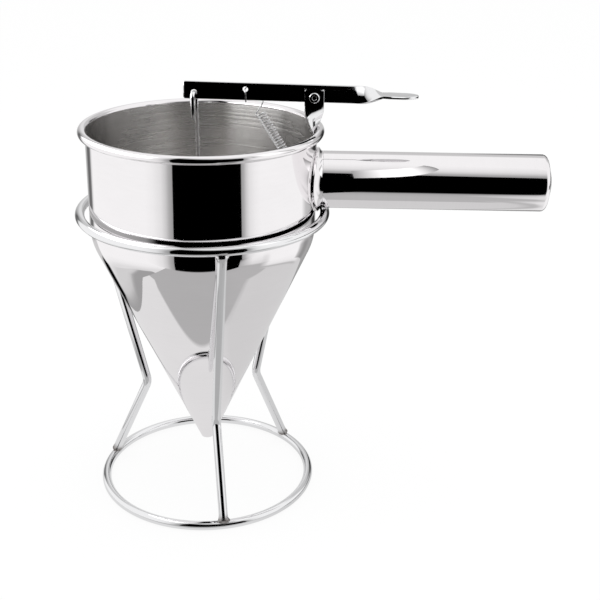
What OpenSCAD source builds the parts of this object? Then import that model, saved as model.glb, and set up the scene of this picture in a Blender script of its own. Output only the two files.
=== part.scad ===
// Batter dispenser: a steel hopper with a straight handle, resting in a wire
// stand. A thumb lever lifts a rod whose plug opens the outlet at the hopper's
// tip, and a tension spring closes it again.
// Origin: the middle of the stand, on the surface it rests on.
// +Z is up, +X runs along the handle. All sizes are in millimetres.

/* [Stand] */
// Thickness of the stand's wire
wire_d = 5; // [3.5:0.5:6]
// Radius of the base ring, to the middle of its wire
base_ring_r = 59; // [50:1:75]
// Height of the middle of the top ring
stand_h = 163; // [150:1:180]
// Height at which the legs bend
leg_bend_z = 54; // [40:1:75]
// Distance from the stand's axis to the legs' bend
leg_bend_r = 36.7; // [33:0.1:42]
// Radius of the legs' bend, to the middle of the wire
leg_curve_r = 9; // [6:0.5:14]
// Direction of the front leg, seen from above
front_leg_turn = -77; // [-95:1:-60]

/* [Hopper] */
// Outside radius of the straight band
band_r = 60; // [56:0.5:64]
// Height of the straight band, from the shoulder to the middle of the rim roll
band_h = 50.2; // [42:0.2:65]
// Thickness of the sheet
sheet = 0.7; // [0.5:0.1:1.2]
// Thickness of the rolled rim
rim_roll_d = 4.4; // [3.6:0.1:5.6]
// How far the band's lower end lies below the middle of the top ring
seat_drop = 6.1; // [4:0.1:9]
// Outside radius of the shoulder between band and cone
shoulder_r = 32; // [24:1:40]
// Angle between the cone's side and its axis
cone_angle = 24.4; // [23:0.1:28]
// Outside radius of the cone's open tip
outlet_r = 3.4; // [3:0.1:6]

/* [Handle] */
// Diameter of the handle tube
handle_d = 30; // [24:1:34]
// Wall of the handle tube
handle_wall = 0.8; // [0.6:0.1:1.5]
// Length of the handle, from the band to the end of its tube
handle_reach = 121; // [90:1:150]
// How far the handle's axis lies below the middle of the rim roll
handle_drop = 26.1; // [22:0.1:32]
// Width of the collar that shows between band and tube
collar_w = 3.4; // [2:0.1:6]
// Radius of the tube's rounded end
end_round_r = 2.6; // [1.5:0.1:4]
// How far the end cap bulges
cap_bulge = 3; // [1:0.1:5]

/* [Pivot] */
// Width of the bracket's strip
bracket_w = 10; // [8:0.5:12]
// Thickness of the bracket's strip
bracket_t = 1.5; // [1:0.1:2]
// Height of the lever's pivot above the middle of the rim roll
pivot_lift = 17.5; // [16:0.5:24]
// Height of the bracket above the pivot
ear_top = 4.2; // [3.4:0.1:6]
// Length of the bracket's quarter turn
bracket_twist_len = 14.2; // [11:0.1:16]
// Diameter of the rivet's shank
rivet_d = 3; // [2.4:0.1:3.6]
// Diameter of the rivet's head
rivet_head_d = 5.4; // [4.8:0.1:7]

/* [Lever] */
// Width of the lever's strip
lever_w = 9; // [8:0.5:12]
// Thickness of the lever's strip
lever_t = 1.5; // [1:0.1:2]
// Distance from the pivot to the rod's hole
rod_arm = 61.7; // [56:0.1:66]
// Length of the lever past the rod's hole
lever_nose = 5.5; // [4:0.5:9]
// Distance from the pivot to the spring's hole
spring_arm = 35.4; // [30:0.1:40]
// Distance from the pivot to the quarter turn before the pad
pad_arm = 21.2; // [18:0.2:30]
// Length of that quarter turn
lever_twist_len = 13.7; // [10:0.1:18]
// Length of the thumb pad
pad_len = 18.4; // [14:0.1:26]
// Width of the thumb pad
pad_w = 10.4; // [9:0.1:14]
// Slope of the lever at rest, rod end high
rest_tilt = 0.8; // [0:0.1:2]

/* [Valve] */
// Diameter of the rod
rod_d = 2.5; // [2:0.1:3]
// Radius of the rod's hook, to the middle of the wire
hook_r = 2.6; // [2.4:0.1:3.4]
// Length of the hook's straight tail
hook_tail = 11; // [6:0.5:16]
// Turn of the hook about the rod, seen from above
hook_turn = -15; // [-18:1:0]
// Largest radius of the plug
plug_r = 4.5; // [4:0.1:7]

/* [Spring] */
// Thickness of the spring's wire
spring_wire_d = 0.65; // [0.5:0.05:0.8]
// Outside diameter of the coil
coil_d = 5.4; // [4.6:0.1:6]
// Number of turns
coil_turns = 24; // [16:1:28]
// Depth of the spring's lower anchor below the middle of the rim roll
anchor_drop = 28.9; // [26:0.1:40]

/* [Clearances] */
// Gap between pieces that rest on or are joined to each other
joint_gap = 0.05; // [0.02:0.01:0.1]
// Gap between the hopper's shoulder and the legs that carry it
seat_gap = 0.3; // [0.1:0.05:0.5]
// Gap between the lever and what it turns beside
side_gap = 0.25; // [0.15:0.05:0.4]
// Clearance all round between the rivet and the lever's bore
running_gap = 0.06; // [0.02:0.01:0.1]

/* [Hidden] */
$fn = 96;

steel = [0.80, 0.80, 0.81];
wire_steel = [0.74, 0.74, 0.76];
dark_steel = [0.30, 0.30, 0.32];
spring_steel = [0.62, 0.62, 0.64];

// heights
base_z = wire_d / 2;
band_low_z = stand_h - seat_drop;
rim_z = band_low_z + band_h;
handle_z = rim_z - handle_drop;
pivot_z = rim_z + pivot_lift;

// hopper profile
band_in_r = band_r - sheet;
rim_roll_r = rim_roll_d / 2;
rim_r = band_in_r + rim_roll_r;
shoulder_x = band_r - shoulder_r;
cone_top_r = band_r - shoulder_r * (1 - cos(cone_angle));
cone_top_z = band_low_z - shoulder_r * sin(cone_angle);
outlet_z = cone_top_z - (cone_top_r - outlet_r) / tan(cone_angle);
// the sheet measured across, on a level cut through the cone
cone_sheet = sheet / cos(cone_angle);

// A leg's upper run leans so that the hopper's shoulder lands on it, and the
// top ring sits on the ends of those runs.
leg_bend = [leg_bend_r, leg_bend_z];
to_shoulder = [shoulder_x, band_low_z] - leg_bend;
leg_lean = atan2(to_shoulder.y, to_shoulder.x)
           - asin((shoulder_r + seat_gap + wire_d / 2) / norm(to_shoulder));
leg_top_z = stand_h - wire_d / 2;
top_ring_r = leg_bend_r + (leg_top_z - leg_bend_z) / tan(leg_lean);

// lever, bracket and rivet, across the handle's direction
ear_y = -(lever_t / 2 + side_gap + bracket_t / 2);
bracket_edge_y = abs(ear_y) + bracket_w / 2;
bracket_x = sqrt(pow(band_in_r, 2) - pow(bracket_edge_y, 2))
            - 2 * joint_gap - bracket_t / 2;
pivot_x = bracket_x;
rivet_head_t = 0.8;
washer_t = 0.6;
washer_y = lever_t / 2 + side_gap;
twist_top_z = pivot_z - rivet_head_d / 2 - 0.15 * bracket_w;
twist_low_z = twist_top_z - bracket_twist_len;

// the lever's middle line runs above its pivot; holes are measured from the
// pivot along the lever and square to it
lever_mid = 1.8;
rod_hole = [-rod_arm, lever_mid - 1.36];
rod_hole_d = rod_d + 0.9;
spring_hole = [-spring_arm, lever_mid + 1.2];
spring_hole_d = 2.8;
// place of a point of the lever, in the object's X and Z
function on_lever(p) = [pivot_x + p.x * cos(rest_tilt) + p.y * sin(rest_tilt),
                        pivot_z - p.x * sin(rest_tilt) + p.y * cos(rest_tilt)];

// plug and rod
plug_gap = 0.3;
plug_low_z = outlet_z + 0.3;
function cone_in_r(z) = outlet_r + (z - outlet_z) * tan(cone_angle) - cone_sheet;
plug_seat_z = outlet_z + (plug_r + plug_gap + cone_sheet - outlet_r) / tan(cone_angle);
plug_band_h = 1.2;
plug_neck_h = 3;
plug_top_z = plug_seat_z + plug_band_h + plug_neck_h;
rod_hook = on_lever(rod_hole);
hook_slack = 0.17;
rod_top = [rod_hook.x - hook_r * sin(hook_turn), hook_r * cos(hook_turn),
           rod_hook.y - hook_slack - hook_r];
rod_foot = [0, 0, plug_top_z + joint_gap];

// anchor of the spring on the bracket's folded foot
tongue_r = 3.9;
tongue_hole_d = 2.8;
tongue_x = bracket_x - bracket_t / 2 - 3.4;
tongue_z = rim_z - anchor_drop;

// ---- shared shapes ----

function unit(v) = v / norm(v);
function heading(v) = atan2(v.y, v.x);

// a closed ring of round wire lying flat
module ring(r, z, d) {
    translate([0, 0, z])
        rotate_extrude() translate([r, 0]) circle(d = d);
}

// a straight piece of round wire from p to q, in the XY plane
module straight_wire(p, q, d) {
    translate([p.x, p.y, 0]) rotate([0, 0, heading(q - p)]) rotate([0, 90, 0])
        cylinder(h = norm(q - p), d = d);
}

// Round wire from start over one bend to finish, in the XY plane. The bend is
// a hair thinner than the straights and its ends lie a little inside them.
module bent_wire(start, bend, finish, curve_r, d) {
    thinned = 0.02;
    overlap = 1.2;
    in_dir = unit(bend - start);
    out_dir = unit(finish - bend);
    turn = heading(finish - bend) - heading(bend - start);
    tangent = curve_r * tan(abs(turn) / 2);
    arc_start = bend - tangent * in_dir;
    arc_end = bend + tangent * out_dir;
    centre = arc_start + curve_r * [-in_dir.y, in_dir.x];
    straight_wire(start, arc_start, d);
    translate([centre.x, centre.y, 0]) rotate([0, 0, heading(in_dir) - 90 - overlap])
        rotate_extrude(angle = turn + 2 * overlap) translate([curve_r, 0]) circle(d = d - thinned);
    straight_wire(arc_end, finish, d);
}

// the part of a flat ring between two angles, both under half a turn apart
module ring_sector(outer_r, inner_r, from, to) {
    reach = 2 * outer_r;
    middle = (from + to) / 2;
    intersection() {
        difference() {
            circle(r = outer_r);
            circle(r = inner_r);
        }
        polygon([[0, 0], reach * [cos(from), sin(from)],
                 reach * [cos(middle), sin(middle)],
                 reach * [cos(to), sin(to)]]);
    }
}

// ---- stand ----

module base_ring() {
    color(wire_steel) ring(base_ring_r, base_z, wire_d);
}

module top_ring() {
    color(wire_steel) ring(top_ring_r, stand_h, wire_d);
}

// One leg. Each end runs a little into its ring and is cut to the ring's
// round, as a welded wire end is.
module leg(turn) {
    into_ring = 0.1 * wire_d;
    ring_cut_d = wire_d + 2 * joint_gap;
    ring_seat = [top_ring_r, leg_top_z];
    foot_seat = [base_ring_r, wire_d];
    start = ring_seat + into_ring * unit(ring_seat - leg_bend);
    finish = foot_seat + into_ring * unit(foot_seat - leg_bend);
    difference() {
        rotate([0, 0, turn]) rotate([90, 0, 0])
            bent_wire(start, leg_bend, finish, leg_curve_r, wire_d);
        ring(top_ring_r, stand_h, ring_cut_d);
        ring(base_ring_r, base_z, ring_cut_d);
    }
}

module leg_front() {
    color(wire_steel) leg(front_leg_turn);
}

module leg_right() {
    color(wire_steel) leg(front_leg_turn + 120);
}

module leg_left() {
    color(wire_steel) leg(front_leg_turn + 240);
}

// ---- hopper ----

// Half section of the hopper's sheet: the rim rolled outwards and down, the
// straight band, the round shoulder and the cone down to its open tip.
module hopper_section() {
    translate([rim_r, rim_z]) {
        ring_sector(rim_roll_r, rim_roll_r - sheet, 60, 180);
        ring_sector(rim_roll_r, rim_roll_r - sheet, -60, 60);
        ring_sector(rim_roll_r, rim_roll_r - sheet, -125, -60);
    }
    translate([band_in_r, band_low_z]) square([sheet, band_h]);
    translate([shoulder_x, band_low_z])
        ring_sector(shoulder_r, shoulder_r - sheet, -cone_angle, 0);
    polygon([[cone_top_r, cone_top_z],
             [cone_top_r - sheet * cos(cone_angle), cone_top_z + sheet * sin(cone_angle)],
             [outlet_r - cone_sheet, outlet_z],
             [outlet_r, outlet_z]]);
}

module hopper() {
    color(steel) rotate_extrude($fn = 180) hopper_section();
}

// ---- handle ----

tube_x = band_r + collar_w;
tube_end_x = band_r + handle_reach;
tube_in_r = handle_d / 2 - handle_wall;
cap_r = handle_d / 2 - end_round_r - 2 * joint_gap;

// places what is built along +Z on the handle's axis, from the height x
module along_handle(x) {
    translate([x, 0, handle_z]) rotate([0, 90, 0]) children();
}

// the collar welded to the band, with the spigot that carries the tube
module handle_collar() {
    spigot_len = 8;
    collar_r = handle_d / 2 - 0.3;
    bore_r = tube_in_r - 2;
    color(steel) difference() {
        along_handle(band_r / 2) {
            cylinder(h = tube_x - joint_gap - band_r / 2, r = collar_r);
            cylinder(h = tube_x + spigot_len - band_r / 2, r = tube_in_r - joint_gap);
        }
        along_handle(0) cylinder(h = tube_x + 2 * spigot_len, r = bore_r);
        translate([0, 0, handle_z - handle_d]) cylinder(h = 2 * handle_d, r = band_r + joint_gap, $fn = 180);
    }
}

// the tube: plain, with its far end rolled in to a smaller mouth
module handle_tube() {
    plain_len = tube_end_x - end_round_r - tube_x;
    color(steel) along_handle(tube_x) rotate_extrude() {
        translate([tube_in_r, 0]) square([handle_wall, plain_len]);
        translate([handle_d / 2 - end_round_r, plain_len])
            ring_sector(end_round_r, end_round_r - handle_wall, 0, 90);
    }
}

// the domed cap in the tube's mouth, with the skirt that holds it there
module handle_cap() {
    cap_t = 1;
    skirt_len = 6;
    edge_x = tube_end_x - 0.4;
    dome_r = (pow(cap_r, 2) + pow(cap_bulge, 2)) / (2 * cap_bulge);
    color(steel) along_handle(edge_x) {
        intersection() {
            translate([0, 0, cap_bulge - dome_r]) difference() {
                sphere(r = dome_r);
                sphere(r = dome_r - cap_t);
            }
            translate([0, 0, -skirt_len / 2]) cylinder(h = skirt_len / 2 + 2 * cap_bulge, r = cap_r);
        }
        translate([0, 0, -skirt_len]) difference() {
            cylinder(h = skirt_len, r = cap_r);
            translate([0, 0, -1]) cylinder(h = skirt_len + 2, r = cap_r - cap_t);
        }
    }
}

// ---- pivot ----

// Places what is built along +Z on the pivot's axis, with +Z towards the
// front, which is the object's -Y.
module along_pivot() {
    translate([pivot_x, 0, pivot_z]) rotate([90, 0, 0]) children();
}

// One strip: flat against the band's inside below the rim, turned a quarter
// above it so that its ear stands beside the lever, and folded in at its foot
// to a tongue that holds the spring.
module pivot_bracket() {
    ear_h = pivot_z + ear_top - twist_top_z;
    tongue_len = bracket_x - bracket_t / 2 - tongue_x;
    color(steel) difference() {
        translate([bracket_x, ear_y, 0]) {
            translate([-bracket_w / 2, -bracket_t / 2, twist_top_z])
                cube([bracket_w, bracket_t, ear_h]);
            translate([0, 0, twist_low_z])
                linear_extrude(height = bracket_twist_len, twist = 90, slices = 18, segments = 12)
                    square([bracket_t, bracket_w], center = true);
            translate([-bracket_t / 2, -bracket_w / 2, tongue_z - bracket_t / 2])
                cube([bracket_t, bracket_w, twist_low_z - tongue_z + bracket_t / 2]);
            translate([tongue_x - bracket_x, 0, tongue_z - bracket_t / 2]) {
                translate([0, -tongue_r, 0]) cube([tongue_len, 2 * tongue_r, bracket_t]);
                cylinder(h = bracket_t, r = tongue_r);
            }
        }
        along_pivot() cylinder(h = 4 * bracket_w, d = rivet_d + 2 * joint_gap, center = true);
        translate([tongue_x, ear_y, tongue_z])
            cylinder(h = 4 * bracket_t, d = tongue_hole_d, center = true);
    }
}

// the half section of a rivet end: a flat button with a rounded edge
module button_section(r, t) {
    edge_r = 0.9 * t;
    square([r - edge_r, t]);
    square([r, t - edge_r]);
    translate([r - edge_r, t - edge_r]) intersection() {
        circle(r = edge_r);
        square(edge_r);
    }
}

// the rivet: a button head in front, a shank through ear, lever and washer,
// and a smaller button clinched behind, both ends drilled hollow
module pivot_rivet() {
    head_z = lever_t / 2 + side_gap + bracket_t + joint_gap;
    tail_z = washer_y + washer_t + joint_gap;
    tail_t = 0.7;
    tail_r = rivet_head_d / 2 - 0.3;
    hollow_r = 0.36 * rivet_d;
    hollow_depth = 1.4;
    color(steel) along_pivot() difference() {
        union() {
            translate([0, 0, -tail_z]) cylinder(h = head_z + tail_z, d = rivet_d);
            translate([0, 0, head_z])
                rotate_extrude() button_section(rivet_head_d / 2, rivet_head_t);
            translate([0, 0, -tail_z]) mirror([0, 0, 1])
                rotate_extrude() button_section(tail_r, tail_t);
        }
        translate([0, 0, head_z + rivet_head_t - hollow_depth])
            cylinder(h = 2 * hollow_depth, r = hollow_r);
        translate([0, 0, -tail_z - tail_t - hollow_depth])
            cylinder(h = 2 * hollow_depth, r = hollow_r);
    }
}

// the washer between the lever and the rivet's clinched end
module pivot_washer() {
    color(steel) along_pivot() translate([0, 0, -washer_y - washer_t]) difference() {
        cylinder(h = washer_t, d = rivet_head_d + 0.8);
        translate([0, 0, -1]) cylinder(h = washer_t + 2, d = rivet_d + 2 * joint_gap);
    }
}

// ---- lever ----

// outline of the thumb pad: it widens from the strip and ends in half an oval
function pad_outline() =
    let (oval_len = 0.52 * pad_len, straight = pad_len - oval_len)
    concat([[0, -lever_w / 2], [0.5 * straight, -pad_w / 2]],
           [for (a = [-90:10:90]) [straight + oval_len * cos(a), pad_w / 2 * sin(a)]],
           [[0.5 * straight, pad_w / 2], [0, lever_w / 2]]);

// The lever: a strip on edge with three holes, turned a quarter to a flat
// thumb pad with a shallow dish.
module lever() {
    nose = -rod_arm - lever_nose;
    corner_r = 1.2;
    dish_r = 34;
    dish_depth = 0.5;
    pad_x = pad_arm + lever_twist_len;
    color(dark_steel) translate([pivot_x, 0, pivot_z]) rotate([0, rest_tilt, 0])
        difference() {
            union() {
                rotate([90, 0, 0]) linear_extrude(height = lever_t, center = true) {
                    translate([nose + corner_r, lever_mid - lever_w / 2])
                        square([pad_arm - nose - corner_r, lever_w]);
                    translate([nose, lever_mid - lever_w / 2 + corner_r])
                        square([2 * corner_r, lever_w - 2 * corner_r]);
                    for (side = [-1, 1])
                        translate([nose + corner_r, lever_mid + side * (lever_w / 2 - corner_r)])
                            circle(r = corner_r);
                }
                translate([pad_arm, 0, lever_mid]) rotate([0, 90, 0])
                    linear_extrude(height = lever_twist_len, twist = 90, slices = 20, segments = 12)
                        square([lever_w, lever_t], center = true);
                translate([pad_x, 0, lever_mid - lever_t / 2])
                    linear_extrude(height = lever_t) polygon(pad_outline());
            }
            rotate([90, 0, 0])
                cylinder(h = 4 * lever_t, r = rivet_d / 2 + running_gap, center = true);
            translate([rod_hole.x, 0, rod_hole.y]) rotate([90, 0, 0])
                cylinder(h = 4 * lever_t, d = rod_hole_d, center = true);
            translate([spring_hole.x, 0, spring_hole.y]) rotate([90, 0, 0])
                cylinder(h = 4 * lever_t, d = spring_hole_d, center = true);
            translate([pad_x + 0.5 * pad_len, 0, lever_mid + lever_t / 2 + dish_r - dish_depth])
                sphere(r = dish_r);
        }
}

// ---- valve ----

// The rod hangs by its hook in the lever's hole and runs straight down to the
// plug, so it leans by the little that the hole lies off the hopper's axis.
module rod() {
    run = rod_top - rod_foot;
    lean = acos(run.z / norm(run));
    lean_dir = atan2(run.y, run.x);
    color(wire_steel) translate(rod_foot) rotate([0, lean, lean_dir])
        rotate([0, 0, hook_turn - lean_dir]) {
            cylinder(h = norm(run), d = rod_d);
            translate([0, -hook_r, norm(run)]) rotate([90, 0, 90]) {
                rotate_extrude(angle = 180) translate([hook_r, 0]) circle(d = rod_d);
                straight_wire([-hook_r, 0], [-hook_r, -hook_tail], rod_d);
            }
        }
}

// the plug: a nose in the outlet, a cone that seats in the hopper's cone, a
// short band and a neck for the rod
module plug() {
    neck_r = rod_d / 2 + 0.9;
    color(steel) rotate_extrude() polygon([
        [0, plug_low_z],
        [cone_in_r(plug_low_z) - plug_gap, plug_low_z],
        [plug_r, plug_seat_z],
        [plug_r, plug_seat_z + plug_band_h],
        [neck_r, plug_seat_z + plug_band_h + 0.8],
        [neck_r, plug_top_z],
        [0, plug_top_z]]);
}

// ---- spring ----

spring_top = on_lever(spring_hole);
spring_foot = [tongue_x, tongue_z];
spring_len = norm(spring_foot - spring_top);
spring_down = unit(spring_foot - spring_top);
spring_side = [-spring_down.y, spring_down.x];
coil_r = (coil_d - spring_wire_d) / 2;
top_hook_len = 14.5;
foot_hook_len = 8;
coil_len = spring_len - top_hook_len - foot_hook_len;
rings_per_turn = 8;
spring_sides = 6;

// point of the helix after t turns, starting on its left side
function coil_point(t) =
    let (s = top_hook_len + coil_len * t / coil_turns, a = 180 + 360 * t,
         c = spring_top + spring_down * s + spring_side * coil_r * cos(a))
    [c.x, coil_r * sin(a), c.y];

// a smooth curve through the points p, with n steps between each two; the
// first and last points only give the direction
function through(p, n) =
    [for (i = [1:len(p) - 3], k = [0:n - 1])
        let (t = k / n, a = p[i - 1], b = p[i], c = p[i + 1], d = p[i + 2])
        0.5 * (2 * b + (c - a) * t + (2 * a - 5 * b + 4 * c - d) * t * t
               + (3 * b - a - 3 * c + d) * t * t * t)];

// the top hook, from its free end in front of the lever, through the hole and
// round behind the lever to the coil; places are measured from the hole
hook_front_y = -(lever_t / 2 + 0.75);
hook_back_y = lever_t / 2 + 0.9;
top_hook = [for (p = [[0.4, hook_front_y, -8.4], [0.3, hook_front_y, -6.4],
                      [0.1, hook_front_y, -3.4], [-0.1, hook_front_y, -1.1],
                      [0, 0, 0.2], [1.3, hook_back_y - 0.2, 0.8],
                      [4.2, hook_back_y, 0.9], [7.4, hook_back_y, -0.7],
                      [9.2, hook_back_y, -3.8], [8.7, hook_back_y, -7.4],
                      [6.7, hook_back_y, -11], [5.4, 1.1, -13.1]])
            [spring_top.x + p.x, p.y, spring_top.y + p.z]];
// the foot hook, from the coil round the tongue's edge and up through its
// hole; places are measured from that hole
foot_hook = [for (p = [[-5.7, -1, 4.7], [-5.2, -1.2, 3], [-4.9, -0.6, 1],
                       [-4.6, 0, -1], [-3.3, 0, -2.9], [-1.5, 0, -2.9],
                       [-0.3, 0, -1.2], [0, 0, 0.8], [0, 0, 2.8], [0, 0, 4.8]])
             [spring_foot.x + p.x, ear_y + p.y, spring_foot.y + p.z]];
coil_points = [for (i = [0:coil_turns * rings_per_turn]) coil_point(i / rings_per_turn)];
coil_last = len(coil_points) - 1;
spring_path = concat(
    [top_hook[1] - unit(top_hook[2] - top_hook[1]) * spring_wire_d],
    through(concat(top_hook, [coil_points[0], coil_points[1]]), 3),
    coil_points,
    [for (p = through(concat([coil_points[coil_last - 1], coil_points[coil_last]], foot_hook), 3))
        if (norm(p - coil_points[coil_last]) > 0.1) p],
    [foot_hook[8], foot_hook[8] + unit(foot_hook[8] - foot_hook[7]) * spring_wire_d]);

// least distance between the surfaces of stretches that aren't neighbours
spring_gap = min([for (i = [0:len(spring_path) - 6], j = [i + 5:len(spring_path) - 1])
                  norm(spring_path[i] - spring_path[j])]) - spring_wire_d;
echo(str("least gap of the spring to itself: ", spring_gap, " mm, rings: ", len(spring_path)));  // spring

// direction of a path at its point i
function along(p, i) = unit(p[min(i + 1, len(p) - 1)] - p[max(i - 1, 0)]);

// one normal for each point of the path, carried along without turning
function carried(p) = [for (i = 0, n = unit(cross(along(p, 0), [0, 1, 0.3]));
                            i < len(p);
                            i = i + 1,
                            n = i < len(p) ? unit(n - (n * along(p, i)) * along(p, i)) : n) n];

// a closed round tube along a path
module tube_along(p, d, sides) {
    n = carried(p);
    last = len(p) - 1;
    points = [for (i = [0:last], k = [0:sides - 1])
                 let (a = 360 * k / sides, b = cross(along(p, i), n[i]))
                 p[i] + d / 2 * (cos(a) * n[i] + sin(a) * b)];
    sides_faces = [for (i = [0:last - 1], k = [0:sides - 1])
                      let (q = i * sides, m = (k + 1) % sides)
                      each [[q + k, q + m, q + sides + m], [q + k, q + sides + m, q + sides + k]]];
    ends = [for (k = [1:sides - 2])
               each [[0, k + 1, k],
                     [last * sides, last * sides + k, last * sides + k + 1]]];
    polyhedron(points, concat([for (f = concat(sides_faces, ends)) [f.z, f.y, f.x]]));
}

module spring() {
    color(spring_steel) tube_along(spring_path, spring_wire_d, spring_sides);
}

base_ring();
leg_front();
leg_right();
leg_left();
top_ring();
hopper();
handle_collar();
handle_tube();
handle_cap();
pivot_bracket();
pivot_rivet();
pivot_washer();
lever();
rod();
plug();
spring();
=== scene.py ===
# %% [markdown]
# # A batter dispenser in polished steel
#
# The object is a steel hopper with a straight handle, resting in a stand of
# bent wire. A thumb lever lifts a rod, the rod carries a plug, and a spring
# pulls everything shut again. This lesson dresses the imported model: the frame
# fixes every place and every joint, and each cell adds one piece or one finish.

# %% Load the frame
import math
from functools import partial, reduce

import bmesh
import bpy
import numpy as np
from mathutils import Matrix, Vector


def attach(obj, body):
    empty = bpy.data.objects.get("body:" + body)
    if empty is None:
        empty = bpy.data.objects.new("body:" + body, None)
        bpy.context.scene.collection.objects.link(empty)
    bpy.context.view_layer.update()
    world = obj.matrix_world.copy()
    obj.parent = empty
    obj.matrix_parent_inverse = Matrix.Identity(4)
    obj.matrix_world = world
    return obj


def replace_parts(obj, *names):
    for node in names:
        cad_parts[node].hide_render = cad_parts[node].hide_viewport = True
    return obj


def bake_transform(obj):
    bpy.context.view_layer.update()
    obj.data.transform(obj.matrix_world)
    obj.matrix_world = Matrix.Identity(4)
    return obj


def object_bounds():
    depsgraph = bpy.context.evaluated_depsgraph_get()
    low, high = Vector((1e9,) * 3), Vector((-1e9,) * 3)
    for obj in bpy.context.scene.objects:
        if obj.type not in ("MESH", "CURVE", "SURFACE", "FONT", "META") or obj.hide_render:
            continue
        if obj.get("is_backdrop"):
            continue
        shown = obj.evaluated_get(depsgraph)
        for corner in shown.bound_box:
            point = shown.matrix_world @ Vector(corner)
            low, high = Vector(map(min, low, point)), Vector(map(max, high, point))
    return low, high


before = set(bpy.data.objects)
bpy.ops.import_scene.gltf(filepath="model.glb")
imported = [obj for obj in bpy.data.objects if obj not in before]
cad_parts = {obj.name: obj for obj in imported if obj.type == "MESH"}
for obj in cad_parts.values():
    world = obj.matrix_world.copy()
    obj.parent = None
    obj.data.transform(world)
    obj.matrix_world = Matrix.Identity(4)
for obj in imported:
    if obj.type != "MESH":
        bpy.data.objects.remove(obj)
cad_box = [list(corner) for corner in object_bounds()]
MM = 0.001
TAU = 2 * math.pi

# %% [markdown]
# ## The camera
#
# A photograph can be measured like a drawing once its camera is known. The
# band's two ellipses, the stand's rings and the handle's edges gave the focal
# length in pixels, the height and the tilt of this one. Everything is kept in
# the object's own axes: the handle runs along X and the camera looks along Y.
# A camera starts out looking straight down. It is rolled about its own line of
# sight first and then tilted up.

# %% Place the camera
FRAME_PX, SENSOR_MM, FOCAL_PX = 600, 36, 1090.94
CAMERA_MM = np.array([52.56, -555.5, 347.22])
PITCH, ROLL = math.radians(23.001), math.radians(1.029)


def new_object(name, data):
    """An object in the scene, at the origin."""
    made = bpy.data.objects.new(name, data)
    bpy.context.scene.collection.objects.link(made)
    return made


camera = new_object("camera", bpy.data.cameras.new("camera"))
camera.data.sensor_width = SENSOR_MM
camera.data.lens = FOCAL_PX / FRAME_PX * SENSOR_MM
camera.data.clip_start, camera.data.clip_end = 0.01, 10
tilt_up, roll = Matrix.Rotation(math.pi / 2 - PITCH, 4, "X"), Matrix.Rotation(ROLL, 4, "Z")
camera.matrix_world = Matrix.Translation(CAMERA_MM * MM) @ tilt_up @ roll
bpy.context.scene.camera = camera
print("lens, mm:", round(camera.data.lens, 2))

# %% [markdown]
# ## From numbers to surfaces
#
# Every new piece is a grid of points worked out with numpy. One direction of
# the grid runs along the piece and the other runs round it, so a quad joins
# each point to its neighbours. Working this way gives even, smooth faces, and
# polished steel needs that: a mirror shows every flat spot of a mesh.


# %% Grids, meshes and pieces
def unit(v):
    """Vectors scaled to length 1."""
    return v / np.linalg.norm(v, axis=-1, keepdims=True)


def grid_faces(rows, columns, wrap_rows):
    """Quads of a grid whose points are numbered row by row; columns close on themselves."""
    row, column = np.meshgrid(
        np.arange(rows if wrap_rows else rows - 1), np.arange(columns), indexing="ij"
    )
    below, beside = (row + 1) % rows, (column + 1) % columns
    corners = [(row, column), (row, beside), (below, beside), (below, column)]
    return np.stack([r * columns + c for r, c in corners], -1).reshape(-1, 4)


def build_mesh(name, shell, sharp_deg):
    """A mesh of a closed shell: a grid in mm with closed columns, whose rows close
    on themselves or whose two ends are capped. Points that fall together become
    one, and faces are turned outwards."""
    grid, wrap = shell["grid"], shell.get("wrap", False)
    rows, columns = grid.shape[:2]
    faces = grid_faces(rows, columns, wrap).tolist()
    if not wrap:
        faces += [list(range(columns)), list(range((rows - 1) * columns, rows * columns))]
    mesh = bpy.data.meshes.new(name)
    mesh.from_pydata((grid.reshape(-1, 3) * MM).tolist(), [], faces)
    mask = np.broadcast_to(shell.get("mask", 0.0), (rows, columns)).astype(np.float32)
    mesh.attributes.new("mask", "FLOAT", "POINT").data.foreach_set("value", mask.ravel())
    shape = bmesh.new()
    shape.from_mesh(mesh)
    bmesh.ops.remove_doubles(shape, verts=shape.verts, dist=1e-7)
    bmesh.ops.recalc_face_normals(shape, faces=shape.faces)
    shape.to_mesh(mesh)
    shape.free()
    mesh.polygons.foreach_set("use_smooth", np.ones(len(mesh.polygons), bool))
    mesh.set_sharp_from_angle(angle=math.radians(sharp_deg))
    return mesh


def add_piece(name, shell, material, sharp_deg=38):
    """An object at the origin with its place in its mesh."""
    piece = new_object(name, build_mesh(name, shell, sharp_deg))
    piece.data.materials.append(material)
    print(f"{name}: {len(piece.data.polygons)} faces")
    return piece


print("quads of an open grid of 3 by 4 points:", len(grid_faces(3, 4, False)))


# %% Turned shapes, wires and arcs
def revolve(profile, origin=(0, 0, 0), axis="Z", segments=192, **shell):
    """A profile of (radius, height) points turned about an axis through origin:
    across the axis by radius times (cos a, sin a), along it by the height."""
    turn = np.arange(segments) / segments * TAU
    radius, height = profile[:, :1], np.repeat(profile[:, 1:], segments, 1)
    across = radius * np.cos(turn), radius * np.sin(turn)
    order = {"Z": (across[0], across[1], height), "X": (height, across[0], across[1]),
             "-Y": (across[0], -height, across[1])}[axis]
    return {"grid": np.stack(order, -1) + np.array(origin), **shell}


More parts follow.
